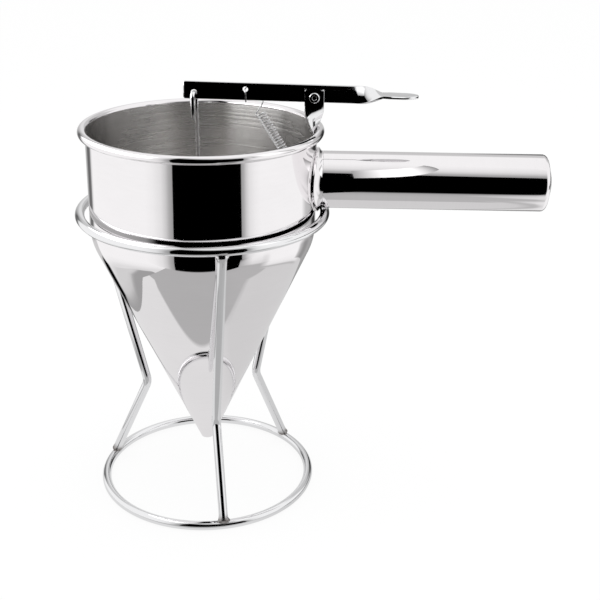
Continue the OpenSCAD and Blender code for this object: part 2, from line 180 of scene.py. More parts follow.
def wire(path, radius, flat_normal, closed=False, sides=28, **shell):
    """Round wire along a path that lies in one plane: each row is a circle
    spanned by the plane's normal and the normal's cross product with the path's
    direction. The radius may change along the path and round it."""
    if closed:
        tangent = unit(np.roll(path, -1, 0) - np.roll(path, 1, 0))
    else:
        tangent = unit(np.gradient(path, axis=0))
    normal = np.broadcast_to(flat_normal, path.shape)
    side = np.cross(tangent, normal)
    turn = np.arange(sides) / sides * TAU
    ring = np.cos(turn)[:, None] * normal[:, None] + np.sin(turn)[:, None] * side[:, None]
    radius = np.broadcast_to(radius, (len(path), sides))[..., None]
    return {"grid": path[:, None] + radius * ring, "wrap": closed, **shell}


def arc(centre, radius, start_deg, end_deg, count):
    """Points on a flat arc, with the angle from the first axis to the second."""
    turn = np.radians(np.linspace(start_deg, end_deg, count))
    return np.stack([centre[0] + radius * np.cos(turn), centre[1] + radius * np.sin(turn)], -1)


print("three points of a quarter arc:", arc((0, 0), 1, 0, 90, 3).round(2).tolist())

# %% [markdown]
# ## How steel gets its look
#
# Steel has almost no colour of its own. What tells one finish from another is
# how sharp its reflections are and which way its fine lines run. Three small
# node groups give those differences, and every steel uses them with values of
# its own: drawn or brushed hairlines, soft smudges from handling, and the dull
# tint that heat leaves round a weld.


# %% Node helpers
def add_node(tree, kind, inputs=None, **settings):
    """A node with its settings; an input may be a value or another node's output."""
    node = tree.nodes.new(kind)
    for key, value in settings.items():
        setattr(node, key, value)
    for key, value in (inputs or {}).items():
        if isinstance(value, bpy.types.NodeSocket):
            tree.links.new(value, node.inputs[key])
        else:
            node.inputs[key].default_value = value
    return node


def maths(tree, operation, *values):
    """The output of a Math node."""
    node = add_node(tree, "ShaderNodeMath", dict(enumerate(values)), operation=operation)
    return node.outputs[0]


def product(tree, *values):
    """All values multiplied, one after the other."""
    return reduce(lambda so_far, value: maths(tree, "MULTIPLY", so_far, value), values)


def largest(tree, *values):
    """The largest of the values."""
    return reduce(lambda so_far, value: maths(tree, "MAXIMUM", so_far, value), values)


def ramp(tree, value, *stops):
    """A grey that follows a value along straight lines between stops, each a
    pair of the value, in its own units, and the grey."""
    stops = sorted(stops)
    low, high = stops[0][0], stops[-1][0]
    factor = add_node(tree, "ShaderNodeMapRange",
                      {"Value": value, "From Min": low, "From Max": high})
    node = add_node(tree, "ShaderNodeValToRGB", {"Fac": factor.outputs[0]})
    elements = node.color_ramp.elements
    while len(elements) < len(stops):
        elements.new(0.5)
    for element, (at, grey) in zip(elements, stops):
        element.position, element.color = (at - low) / (high - low), (grey, grey, grey, 1)
    return node.outputs["Color"]


def new_group(name, inputs, outputs):
    """An empty shader node group with its input and output nodes. Each input is
    a name and a kind of socket, and every output is a number."""
    group = bpy.data.node_groups.new(name, "ShaderNodeTree")
    for label, kind in inputs.items():
        group.interface.new_socket(name=label, in_out="INPUT", socket_type="NodeSocket" + kind)
    for label in outputs:
        group.interface.new_socket(name=label, in_out="OUTPUT", socket_type="NodeSocketFloat")
    given, result = group.nodes.new("NodeGroupInput"), group.nodes.new("NodeGroupOutput")
    return group, given.outputs, result.inputs


helpers = add_node, maths, product, largest, ramp, new_group
print("helpers:", [helper.__name__ for helper in helpers])

# %% Hairlines, smudges and weld tint
hairlines, given, result = new_group(
    "hairlines", {"Place": "Vector", "Stretch": "Vector"}, ["Lines"])
stretched = add_node(hairlines, "ShaderNodeVectorMath",
                     {0: given["Place"], 1: given["Stretch"]}, operation="MULTIPLY")
fine = add_node(hairlines, "ShaderNodeTexNoise",
                {"Vector": stretched.outputs[0], "Scale": 1.0, "Detail": 3.0, "Roughness": 0.65})
hairlines.links.new(ramp(hairlines, fine.outputs["Fac"], (0.3, 0.0), (0.7, 1.0)), result["Lines"])

smudges, given, result = new_group("smudges", {"Place": "Vector", "Scale": "Float"}, ["Smudge"])
cloud = add_node(smudges, "ShaderNodeTexNoise", {
    "Vector": given["Place"], "Scale": given["Scale"], "Detail": 4.0, "Distortion": 0.6})
smudges.links.new(ramp(smudges, cloud.outputs["Fac"], (0.38, 0.0), (0.68, 1.0)), result["Smudge"])

weld_tint, given, result = new_group("weld_tint", {"Place": "Vector"}, ["Tint", "Height"])
near_weld = add_node(weld_tint, "ShaderNodeAttribute", attribute_name="mask").outputs["Fac"]
grains = add_node(weld_tint, "ShaderNodeTexNoise",
                  {"Vector": given["Place"], "Scale": 900.0, "Detail": 3.0}).outputs["Fac"]
tinted = product(weld_tint, near_weld, maths(weld_tint, "ADD", grains, 0.45))
weld_tint.links.new(tinted, result["Tint"])
weld_tint.links.new(product(weld_tint, near_weld, grains), result["Height"])
print("groups:", [g.name for g in bpy.data.node_groups])


# %% One function for every steel
LINES_SHARE, SMUDGE_SHARE = 0.45, 0.55
BURNT, WELD_ROUGHER, GRAIN_HEIGHT = (0.20, 0.18, 0.17, 1), 0.4, 40.0


def steel(name, colour, roughness, stretch, bump_mm, welded=False, smudge_scale=28.0,
          brushed=0.0, worn=0.965):
    """Metal whose roughness runs between two values with lines and smudges.
    stretch is how many lines fall on a metre along X, Y and Z, and worn is how
    much of the colour is left in the dullest lines. A brushed sheet has its
    lines round the Z axis, and they spread what it mirrors up and down."""
    material = bpy.data.materials.new(name)
    material.use_nodes = True
    tree = material.node_tree
    shader = tree.nodes["Principled BSDF"]
    shader.inputs["Metallic"].default_value = 1.0
    place = add_node(tree, "ShaderNodeTexCoord").outputs["Object"]
    lines = add_node(tree, "ShaderNodeGroup", node_tree=hairlines,
                     inputs={"Place": place, "Stretch": stretch}).outputs["Lines"]
    smudge = add_node(tree, "ShaderNodeGroup", node_tree=smudges,
                      inputs={"Place": place, "Scale": smudge_scale}).outputs["Smudge"]
    wear = maths(
        tree, "ADD", product(tree, lines, LINES_SHARE), product(tree, smudge, SMUDGE_SHARE))
    rough = add_node(tree, "ShaderNodeMapRange",
                     {"Value": wear, "To Min": roughness[0], "To Max": roughness[1]}).outputs[0]
    dull = [worn * c for c in colour]
    tint = add_node(tree, "ShaderNodeMix", {"Factor": wear, "A": (*colour, 1), "B": (*dull, 1)},
                    data_type="RGBA")
    base, height = tint.outputs["Result"], lines
    if welded:
        weld = add_node(tree, "ShaderNodeGroup", node_tree=weld_tint, inputs={"Place": place})
        burnt = add_node(tree, "ShaderNodeMix", {"Factor": weld.outputs["Tint"], "A": base,
                                                 "B": BURNT}, data_type="RGBA")
        base = burnt.outputs["Result"]
        rough = maths(tree, "ADD", rough, product(tree, weld.outputs["Tint"], WELD_ROUGHER))
        height = maths(tree, "ADD", lines, product(tree, weld.outputs["Height"], GRAIN_HEIGHT))
    if brushed:
        shader.inputs["Anisotropic"].default_value = brushed
        shader.inputs["Anisotropic Rotation"].default_value = 0.25
        round_axis = add_node(tree, "ShaderNodeTangent", direction_type="RADIAL", axis="Z")
        tree.links.new(round_axis.outputs[0], shader.inputs["Tangent"])
    bump = add_node(tree, "ShaderNodeBump",
                    {"Strength": 1.0, "Distance": bump_mm * MM, "Height": height})
    tree.links.new(base, shader.inputs["Base Color"])
    tree.links.new(rough, shader.inputs["Roughness"])
    tree.links.new(bump.outputs["Normal"], shader.inputs["Normal"])
    return material


print("shares of lines and smudges in the wear:", LINES_SHARE, SMUDGE_SHARE)

# %% The seven finishes
POLISHED = (0.905, 0.885, 0.895)
mirror_sheet = steel("mirror_sheet", POLISHED, (0.015, 0.05), (60, 60, 500), 0.00006)
satin_sheet = steel("satin_sheet", (0.70, 0.685, 0.672), (0.22, 0.34), (14, 14, 700), 0.08,
                    smudge_scale=14.0, brushed=1.0, worn=0.72)
mirror_tube = steel("mirror_tube", POLISHED, (0.02, 0.06), (500, 60, 60), 0.00006)
mirror_wire = steel("mirror_wire", (0.87, 0.87, 0.88), (0.02, 0.06), (120, 120, 500), 0.00006,
                    welded=True)
mirror_strip = steel("mirror_strip", (0.86, 0.86, 0.87), (0.03, 0.09), (70, 900, 1500), 0.00012)
drawn_wire = steel("drawn_wire", (0.86, 0.86, 0.87), (0.06, 0.13), (900, 900, 60), 0.00012)
spring_wire = steel("spring_wire", (0.84, 0.84, 0.85), (0.04, 0.09), (1500, 1500, 1500), 0.0002)
print("materials:", [m.name for m in bpy.data.materials])

# %% [markdown]
# ## The stand
#
# Five lengths of 5 mm wire: two rings and three legs that bend inwards once.
# A ring is a circle carried round a circle. A leg is a circle carried along
# two straight runs with a round bend between them. Where a leg meets a ring
# the weld leaves a small lumpy fillet, so the leg's radius swells at its ends,
# most along the ring, where there is a corner to fill. Each leg's end lies a
# little inside its ring, and tapers there so that it stays hidden.

# %% Rings
WIRE_R = 2.5
BASE_RING = 59.0, 2.5
TOP_RING = 64.96, 163.0
LEG_BEND, LEG_CURVE_R = np.array([36.7, 54.0]), 9.0
LEG_TURNS = {"leg_front": -77, "leg_right": 43, "leg_left": 163}
WELD_SWELL, WELD_LEN, WELD_TINT_LEN, END_SUNK, END_TAPER = 0.95, 1.25, 2.4, 1.2, 0.9


def weld_mask(turn, half_mm, radius):
    """1 at each leg's direction on a ring, falling off along the ring."""
    away = (turn[:, None] - np.radians(list(LEG_TURNS.values())) + math.pi) % TAU - math.pi
    return np.exp(-((away * radius / half_mm) ** 2)).max(1)


def ring_of_wire(name, radius, height, weld_up):
    """A flat ring; weld_up says on which side of the wire the legs are welded."""
    turn = np.arange(288) / 288 * TAU
    path = np.stack([radius * np.cos(turn), radius * np.sin(turn), np.full_like(turn, height)], -1)
    around = np.cos(np.arange(28) / 28 * TAU) * weld_up
    mask = weld_mask(turn, 2.2, radius)[:, None] * np.clip(around, 0, 1)
    return add_piece(name, wire(path, WIRE_R, (0, 0, 1.0), closed=True, mask=mask), mirror_wire)


stand = {"base_ring": ring_of_wire("base_ring_wire", *BASE_RING, weld_up=1),
         "top_ring": ring_of_wire("top_ring_wire", *TOP_RING, weld_up=-1)}


# %% Legs
def leg_path(along):
    """Radius and height on a leg's middle line at a distance from its top: a
    straight run, an arc that touches both runs, and a straight run."""
    top, foot = np.array([TOP_RING[0], TOP_RING[1] - WIRE_R]), np.array([BASE_RING[0], 2 * WIRE_R])
    down, out = unit(LEG_BEND - top), unit(foot - LEG_BEND)
    turn = math.acos(down @ out)
    cut = LEG_CURVE_R * math.tan(turn / 2)
    first = np.linalg.norm(LEG_BEND - top) - cut
    last = first + LEG_CURVE_R * turn
    centre = LEG_BEND - cut * down + LEG_CURVE_R * np.array([-down[1], down[0]])
    swing = math.atan2(down[1], down[0]) - math.pi / 2
    swing = swing + (np.clip(along, first, last) - first) / LEG_CURVE_R
    on_arc = centre + LEG_CURVE_R * np.stack([np.cos(swing), np.sin(swing)], -1)
    before = np.minimum(along - first, 0)[:, None] * down
    after = np.maximum(along - last, 0)[:, None] * out
    length = last + np.linalg.norm(foot - LEG_BEND) - cut
    return on_arc + before + after, length


def leg_of_wire(name, turn_deg):
    """One leg, with its ends a little inside the rings."""
    length = leg_path(np.zeros(1))[1]
    ends = np.concatenate([np.linspace(-END_SUNK, 5, 26), np.linspace(6, 20, 8)])
    along = np.concatenate([ends, np.linspace(24, length - 24, 96), length - ends[::-1]])
    flat = leg_path(along)[0]
    turn = math.radians(turn_deg)
    outwards = np.array([math.cos(turn), math.sin(turn), 0])
    sideways = -math.sin(turn), math.cos(turn), 0
    path = flat[:, :1] * outwards + flat[:, 1:] * np.array([0, 0, 1.0])
    from_end = np.minimum(along, length - along)[:, None]
    around = np.arange(28) / 28 * TAU
    lumps = 1 + 0.25 * np.sin(3 * around + turn) * np.sin(2.3 * from_end + 2 * turn)
    fillet = WELD_SWELL * np.exp(-((np.maximum(from_end, 0) / WELD_LEN) ** 1.4))
    fillet = fillet * (0.12 + 0.88 * np.cos(around) ** 2) * lumps
    inside = np.clip(-from_end / END_SUNK, 0, 1) * END_TAPER
    mask = np.exp(-((from_end / WELD_TINT_LEN) ** 2)) + 0 * around
    mask *= np.where(along < length / 2, 0.2, 1.0)[:, None]
    return add_piece(name, wire(path, WIRE_R + fillet - inside, sideways, mask=mask), mirror_wire)


print("length of a leg's middle line, mm:", round(float(leg_path(np.zeros(1))[1]), 1))
for node, turn_deg in LEG_TURNS.items():
    stand[node] = leg_of_wire(node + "_wire", turn_deg)
for node, piece in stand.items():
    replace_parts(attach(piece, "stand"), node)

# %% [markdown]
# ## The hopper
#
# One sheet, 0.7 mm thick, spun to a cone with a round shoulder and a straight
# band, its rim rolled outwards and down. The sheet's middle line is two
# straight runs and two arcs. Moving it half a thickness to each side gives the
# outside and the inside, and turning the closed outline gives the hopper.

# %% Band, shoulder, cone and rim
SHEET = 0.7
BAND_R, BAND_LOW, RIM_Z = 60.0, 156.9, 207.1
SHOULDER_R, CONE_DEG = 32.0, 24.4
RIM_MID_R, RIM_AT = 2.2 - SHEET / 2, (61.5, 207.1)
TIP_R = 3.4


def hopper_middle():
    """The sheet's middle line from tip to rolled rim, and its outward normals."""
    lean = math.radians(CONE_DEG)
    across = np.array([math.cos(lean), -math.sin(lean)])
    shoulder = np.array([BAND_R - SHOULDER_R, BAND_LOW])
    cone_top = shoulder + (SHOULDER_R - SHEET / 2) * across
    drop = (cone_top[0] - TIP_R + SHEET / 2 * across[0]) / math.sin(lean)
    steps = np.linspace(1, 0, 40)[:, None]
    cone = cone_top - steps * drop * np.array([math.sin(lean), math.cos(lean)])
    bend = arc(shoulder, SHOULDER_R - SHEET / 2, -CONE_DEG, 0, 24)[1:]
    band = np.stack([np.full(20, BAND_R - SHEET / 2), np.linspace(BAND_LOW, RIM_Z, 20)], -1)[1:]
    roll = arc(RIM_AT, RIM_MID_R, 180, -125, 48)[1:]
    line = np.concatenate([cone, bend, band, roll])
    along = unit(np.gradient(line, axis=0))
    along[: len(cone)] = math.sin(lean), math.cos(lean)
    return line, np.stack([along[:, 1], -along[:, 0]], -1)


middle, outward = hopper_middle()
down_sheet = np.array([outward[0, 1], -outward[0, 0]])
sweep = np.linspace(-1.3, 1.3, 7)[:, None]
tip_round = middle[0] + SHEET / 2 * (np.cos(sweep) * down_sheet + np.sin(sweep) * outward[0])
outline = np.concatenate(
    [(middle - SHEET / 2 * outward)[::-1], tip_round, middle + SHEET / 2 * outward])
hopper_shell = revolve(outline, segments=240, wrap=True)
hopper = add_piece("hopper_sheet", hopper_shell, mirror_sheet)
hopper.data.materials.append(satin_sheet)
centres = np.array([p.center for p in hopper.data.polygons]) / MM
from_axis = np.hypot(centres[:, 0], centres[:, 1])
normals = np.array([p.normal for p in hopper.data.polygons])
inward = (normals[:, :2] * centres[:, :2]).sum(1) < 0
inside = inward & (from_axis < BAND_R - SHEET / 2) & (centres[:, 2] < RIM_Z - 0.5)
hopper.data.polygons.foreach_set("material_index", inside.astype(np.int32))
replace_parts(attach(hopper, "hopper"), "hopper")
print("satin faces:", int(inside.sum()))

# %% [markdown]
# ## The handle
#
# A plain tube with its end rolled in, closed by a domed cap and carried by a
# collar that is welded to the band. Tube and cap are outlines turned about the
# handle's axis. The collar can't be: its left edge follows the round band, so
# the place where each of its lines starts depends on the height and depth at
# which that line meets the band. There it spreads to a flange, and from the
# flange's edge it curves down to the tube.

# %% Tube and cap
HANDLE_R, HANDLE_Z, TUBE_X, TUBE_END = 15.0, 181.0, 63.4, 181.0
TUBE_WALL, END_ROUND, EDGE_CUT = 0.8, 2.6, 0.06
axis_start = (0, 0, HANDLE_Z)


def swap(points):
    """(height, radius) points as (radius, height)."""
    return np.asarray(points, float)[:, ::-1]


plain_end = TUBE_END - END_ROUND
tube_outline = np.concatenate([
    swap([[TUBE_X, HANDLE_R - TUBE_WALL], [TUBE_X, HANDLE_R - EDGE_CUT],
          [TUBE_X + EDGE_CUT, HANDLE_R]]),
    swap(np.stack([np.linspace(TUBE_X + 2, plain_end, 24), np.full(24, HANDLE_R)], -1)),
    swap(arc((plain_end, HANDLE_R - END_ROUND), END_ROUND, 90, 0, 14)[1:]),
    swap(arc((plain_end, HANDLE_R - END_ROUND), END_ROUND - TUBE_WALL, 0, 90, 10)),
])
tube_shell = revolve(tube_outline, axis_start, "X", wrap=True)
tube = add_piece("handle_tube_shell", tube_shell, mirror_tube)

CAP_R, CAP_BULGE, CAP_T, SKIRT = 12.3, 3.0, 1.0, 6.0
cap_edge = TUBE_END - 0.4
dome_r = (CAP_R**2 + CAP_BULGE**2) / (2 * CAP_BULGE)
dome_deg = math.degrees(math.asin(CAP_R / dome_r))
dome_at = cap_edge + CAP_BULGE - dome_r
cap_outline = np.concatenate([
    swap(arc((dome_at, 0), dome_r - CAP_T, 0, dome_deg - 3, 16)),
    swap([[cap_edge - SKIRT, CAP_R - CAP_T], [cap_edge - SKIRT, CAP_R], [cap_edge - 0.3, CAP_R]]),
    swap(arc((dome_at, 0), dome_r, dome_deg - 0.9, 0, 24)),
])
cap = add_piece("handle_end_cap", revolve(cap_outline, axis_start, "X"), mirror_tube)

# %% Collar
SPIGOT_R, BORE_R, SPIGOT_LEN = 14.15, 12.2, 8
collar_turn = np.arange(192) / 192 * TAU


def on_band(radius):
    """How far along X the handle's circle of this radius meets the band."""
    return np.sqrt((BAND_R + 0.05) ** 2 - (radius * np.cos(collar_turn)) ** 2)


def collar_row(radius, start, from_band=0.0):
    """One closed row of the collar: on the band, or at a fixed distance along X."""
    x = start + from_band + 0 * collar_turn
    return np.stack(
        [x, radius * np.cos(collar_turn), HANDLE_Z + radius * np.sin(collar_turn)], -1)


# The flange's edge, as changes of radius and distances from the band.
FLANGE_R, SLOPE_END_R = 17.0, 14.97
FLANGE_EDGE = (-0.35, 0.0), (0.0, 0.9), (-0.12, 1.25), (-0.4, 1.55)
flange_start = on_band(FLANGE_R)
flange_rows = [collar_row(FLANGE_R + wider, flange_start, out) for wider, out in FLANGE_EDGE]
slope_r, slope_start = FLANGE_R + FLANGE_EDGE[-1][0], flange_start + FLANGE_EDGE[-1][1]
for part in np.linspace(0, 1, 10)[1:]:
    flange_rows.append(collar_row(slope_r - (slope_r - SLOPE_END_R) * (1 - (1 - part) ** 2),
                                  slope_start + part * (TUBE_X - 0.1 - slope_start)))
collar_grid = np.stack([
    *flange_rows, collar_row(SPIGOT_R, TUBE_X - 0.05), collar_row(SPIGOT_R, TUBE_X + SPIGOT_LEN),
    collar_row(BORE_R, TUBE_X + SPIGOT_LEN), collar_row(BORE_R, on_band(BORE_R))])
collar = add_piece("handle_collar_weld", {"grid": collar_grid, "wrap": True}, mirror_tube)

for node, piece in {"handle_tube": tube, "handle_cap": cap, "handle_collar": collar}.items():
    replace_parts(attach(piece, "hopper"), node)

# %% [markdown]
# ## Strips that turn a quarter
#
# Lever and bracket are flat strips of steel, each twisted once through a
# quarter. A strip is a small rounded rectangle carried along a middle line:
# at every point it has a direction across its width, and the twist turns that
# direction. The lever's turn eases in and out, as a strip does when it is held
# in two jaws and wrung. The bracket's short turn is even.


# %% Strip surface
def rounded_outline(corner, count=4):
    """Corner directions of a rounded rectangle: signs of its four corners and
    the unit arc that rounds each of them."""
    quarter = np.linspace(0, math.pi / 2, count)
    turn = np.concatenate([quarter + k * math.pi / 2 for k in range(4)])
    sign = np.repeat([[1, 1], [-1, 1], [-1, -1], [1, -1]], count, 0)
    return sign, corner * np.stack([np.cos(turn), np.sin(turn)], -1)


def strip(path, width_dir, width, thickness, corner=0.3, **shell):
    """Rounded rectangles along a path: half the width along width_dir and half
    the thickness along the cross product of the path and width_dir."""
    tangent = unit(np.gradient(path, axis=0))
    width_dir = unit(width_dir - (width_dir * tangent).sum(1, keepdims=True) * tangent)
    thick_dir = np.cross(tangent, width_dir)
    sign, rounding = rounded_outline(corner)
    half_w = np.maximum(np.broadcast_to(width, len(path)) / 2, corner)[:, None]
    w = sign[:, 0] * (half_w - corner) + rounding[:, 0]
    t = sign[:, 1] * (thickness / 2 - corner) + rounding[:, 1] + 0 * half_w
    across = w[..., None] * width_dir[:, None] + t[..., None] * thick_dir[:, None]
    return {"grid": path[:, None] + across, **shell}


print("points round a strip:", len(rounded_outline(0.3)[0]))


# %% Twists, widths and holes
def eased(x):
    """0 to 1 with a soft start and end."""
    x = np.clip(x, 0, 1)
    return 0.7 * x + 0.3 * x * x * (3 - 2 * x)


def corner_width(width, radius, from_end):
    """A strip's width near an end whose two corners have this radius."""
    inside = np.clip(from_end, 0, radius)
    return width - 2 * (radius - np.sqrt(np.maximum(radius**2 - (radius - inside) ** 2, 0)))


def cut_away(piece, shell):
    """Takes the space inside a closed shell away from a piece."""
    cutter = new_object("cutter", build_mesh("cutter", shell, 38))
    cut = piece.modifiers.new("cut", "BOOLEAN")
    cut.object, cut.solver = cutter, "EXACT"
    bpy.context.view_layer.update()
    live = piece.evaluated_get(bpy.context.evaluated_depsgraph_get())
    mesh = bpy.data.meshes.new_from_object(live)
    piece.modifiers.clear()
    piece.data = mesh
    bpy.data.objects.remove(cutter)


def drill(piece, places, axis, radius_mm, length_mm=12):
    """Cuts round holes through a piece, each with a true cylinder wall."""
    for place, radius in zip(places, radius_mm):
        wall = np.array([[radius, -length_mm / 2], [radius, length_mm / 2]])
        cut_away(piece, revolve(wall, place, axis, 48))
    piece.data.set_sharp_from_angle(angle=math.radians(38))
    print(f"{piece.name}: {len(places)} holes, {len(piece.data.polygons)} faces")


print("share of the turn after a quarter of the way:", round(float(eased(0.25)), 3))

# %% [markdown]
# ## The lever
#
# The strip stands on edge over the bowl and turns flat behind the pivot, where
# it widens to a thumb pad with a half-oval end and a shallow dish. The dish is
# a piece of a large ball pressed into the top face. Three holes take the
# rivet, the spring's hook and the rod's hook.

# %% Make the lever
PIVOT = np.array([58.0646, 0, 224.6])
TILT = math.radians(0.8)
LEVER_W, LEVER_T, LEVER_MID = 9.0, 1.5, 1.8
NOSE, PAD_ARM, TWIST_LEN, PAD_LEN, PAD_W = -67.2, 21.2, 13.7, 18.4, 10.4
lever_x = np.array([math.cos(TILT), 0, -math.sin(TILT)])
lever_z = np.array([math.sin(TILT), 0, math.cos(TILT)])


def on_lever(along, above):
    """Places on the lever, from distances along it and square to it."""
    return PIVOT + np.multiply.outer(along, lever_x) + np.multiply.outer(above, lever_z)


pad_start, pad_end = PAD_ARM + TWIST_LEN, PAD_ARM + TWIST_LEN + PAD_LEN
oval_len = 0.52 * PAD_LEN
oval = np.sin(np.linspace(0, math.pi / 2, 30))
along = np.concatenate([
    NOSE + 1.2 * (1 - np.cos(np.linspace(0, math.pi / 2, 9))), np.linspace(-64, PAD_ARM - 1, 40),
    np.linspace(PAD_ARM, pad_start, 48), np.linspace(pad_start + 0.3, pad_end - oval_len, 14)[:-1],
    pad_end - oval_len + oval_len * oval])
widening = eased((along - pad_start) / (0.5 * (PAD_LEN - oval_len)))
width = LEVER_W + (PAD_W - LEVER_W) * widening
width *= np.sqrt(np.clip(1 - (np.maximum(along - pad_end + oval_len, 0) / oval_len) ** 2, 0, 1))
width = np.where(along < 0, corner_width(LEVER_W, 1.2, along - NOSE), width)
twist = eased((along - PAD_ARM) / TWIST_LEN) * math.pi / 2
across_lever = np.cos(twist)[:, None] * lever_z + np.sin(twist)[:, None] * np.array([0, 1.0, 0])
lever_shell = strip(on_lever(along, np.full_like(along, LEVER_MID)), across_lever, width, LEVER_T)

DISH_R, DISH_DEPTH = 34.0, 0.5
dish_at = on_lever(pad_start + 0.5 * PAD_LEN, LEVER_MID + LEVER_T / 2)
lever = add_piece("lever_strip", lever_shell, mirror_strip)
print("lever tip, mm:", on_lever(pad_end, LEVER_MID).round(1))

# %% Dish and holes
pad_rows, pad_columns = 44, 28
reach = np.linspace(0, 1, pad_rows)[:, None]
fan = np.arange(pad_columns) / pad_columns * TAU
dish_edge = math.sqrt(DISH_R**2 - (DISH_R - DISH_DEPTH) ** 2)
ball_at = dish_at + (DISH_R - DISH_DEPTH) * lever_z
ball_angle = reach * math.asin(dish_edge / DISH_R) * 1.04
ball = (ball_at + DISH_R * (np.sin(ball_angle)[..., None] * (np.cos(fan)[:, None] * lever_x
        + np.sin(fan)[:, None] * np.array([0, 1.0, 0])) - np.cos(ball_angle)[..., None] * lever_z))
ball = np.concatenate([ball, ball[-1:] + 3 * lever_z])
cut_away(lever, {"grid": ball})

ROD_HOLE, SPRING_HOLE = (-61.7, 0.44), (-35.4, 3.0)
drill(lever, [PIVOT, on_lever(*ROD_HOLE), on_lever(*SPRING_HOLE)], "-Y", [1.56, 1.7, 1.4])
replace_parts(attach(lever, "lever"), "lever")

# %% [markdown]
# ## The bracket and its rivet
#
# The bracket is the same kind of strip, upright: an ear beside the lever, a
# quarter turn above the rim, a flat run down the inside of the band, and a
# foot folded inwards with a hole for the spring. The rivet is an outline
# turned about the pivot, with its end drilled hollow before it was set.

# %% Make the bracket
EAR_Y, STRIP_W, STRIP_T = -1.75, 10.0, 1.5
EAR_TOP, TWIST_TOP, TWIST_LOW = 228.8, 220.4, 206.2
FOOT_Z, FOLD_R, TONGUE_R, TONGUE_X = 178.2, 1.6, 3.9, 53.9146
fold_at = PIVOT[0] - FOLD_R, FOOT_Z + FOLD_R
ear_end = 0.9 * (1 - np.cos(np.linspace(0, math.pi / 2, 8)))
heights = np.concatenate([
    EAR_TOP - ear_end, np.linspace(EAR_TOP - 1.4, TWIST_TOP, 10),
    np.linspace(TWIST_TOP - 0.3, TWIST_LOW, 44), np.linspace(TWIST_LOW - 1, FOOT_Z + FOLD_R, 16)])
upright = np.stack([np.full_like(heights, PIVOT[0]), heights], -1)
fold = arc(fold_at, FOLD_R, 0, -90, 12)[1:]
tongue_run = np.concatenate([
    np.linspace(fold_at[0] - 0.3, TONGUE_X, 8), TONGUE_X - TONGUE_R * oval[1:]])
tongue = np.stack([tongue_run, np.full_like(tongue_run, FOOT_Z)], -1)
side_view = np.concatenate([upright, fold, tongue])
bracket_path = np.stack([side_view[:, 0], np.full(len(side_view), EAR_Y), side_view[:, 1]], -1)
twist = np.clip((side_view[:, 1] - TWIST_LOW) / (TWIST_TOP - TWIST_LOW), 0, 1) * math.pi / 2
across_strip = np.stack([np.sin(twist), np.cos(twist), 0 * twist], -1)
width = corner_width(STRIP_W, 0.9, EAR_TOP - side_view[:, 1])
is_tongue = np.arange(len(side_view)) >= len(upright) + len(fold)
narrowed = STRIP_W + (2 * TONGUE_R - STRIP_W) * eased((fold_at[0] - side_view[:, 0]) / 1.2)
past_hole = np.maximum(TONGUE_X - side_view[:, 0], 0)
rounded = 2 * np.sqrt(np.clip(TONGUE_R**2 - past_hole**2, 0, None))
width = np.where(is_tongue, np.minimum(narrowed, rounded), width)
bracket_shell = strip(bracket_path, across_strip, width, STRIP_T, corner=0.18)
bracket = add_piece("pivot_bracket_strip", bracket_shell, mirror_strip)
drill(bracket, [PIVOT], "-Y", [1.55])
drill(bracket, [np.array([TONGUE_X, EAR_Y, FOOT_Z])], "Z", [1.4])

# %% Make rivet and washer
HEAD_R, HEAD_T, TAIL_R, TAIL_T, SHANK_R = 2.7, 0.8, 2.4, 0.7, 1.5
HEAD_AT, TAIL_AT, HOLLOW_R, HOLLOW_DEPTH = 2.55, -1.65, 1.08, 1.4


def button(radius, thickness, hollow_r, depth):
    """Outline of a hollow button head, from its seat over a rounded edge and a
    crowned lip down into its hollow."""
    lip = arc((radius - 0.62, thickness - 0.62), 0.62, 0, 78, 9)
    mouth = arc((hollow_r + 0.22, thickness - 0.1), 0.22, 90, 180, 6)
    return np.concatenate([[[radius, 0.0]], lip, mouth, [[hollow_r, thickness - depth]]])


front = button(HEAD_R, HEAD_T, HOLLOW_R, HOLLOW_DEPTH) + [0, HEAD_AT]
back = button(TAIL_R, TAIL_T, HOLLOW_R, HOLLOW_DEPTH) * [1, -1] + [0, TAIL_AT]
rivet_outline = np.concatenate([
    [[0, front[-1, 1]]], front[::-1], [[SHANK_R, HEAD_AT], [SHANK_R, TAIL_AT]],
    back, [[0, back[-1, 1]]]])
rivet = add_piece("pivot_rivet_turned", revolve(rivet_outline, PIVOT, "-Y", 64), mirror_strip)

WASHER_R, WASHER_BORE, WASHER_AT, WASHER_T, CHAMFER = 3.1, 1.55, -1.6, 0.6, 0.12
washer_outline = np.array([
    [WASHER_BORE, 0], [WASHER_R - CHAMFER, 0], [WASHER_R, CHAMFER], [WASHER_R, WASHER_T - CHAMFER],
    [WASHER_R - CHAMFER, WASHER_T], [WASHER_BORE, WASHER_T]]) + [0, WASHER_AT]
washer_shell = revolve(washer_outline, PIVOT, "-Y", 64, wrap=True)
washer = add_piece("pivot_washer_turned", washer_shell, mirror_strip)
for node, piece in {"pivot_bracket": bracket, "pivot_rivet": rivet, "pivot_washer": washer}.items():
    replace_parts(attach(piece, "hopper"), node)

# %% [markdown]
# ## Rod and plug
#
# The rod is one wire with a half-round hook. Its straight part runs from the
# plug to the hook, so both lie in one plane, and the wire can be carried along
# with that plane's normal. The plug is turned: a nose, a cone that seats in the
# hopper's cone, a short band and a neck.

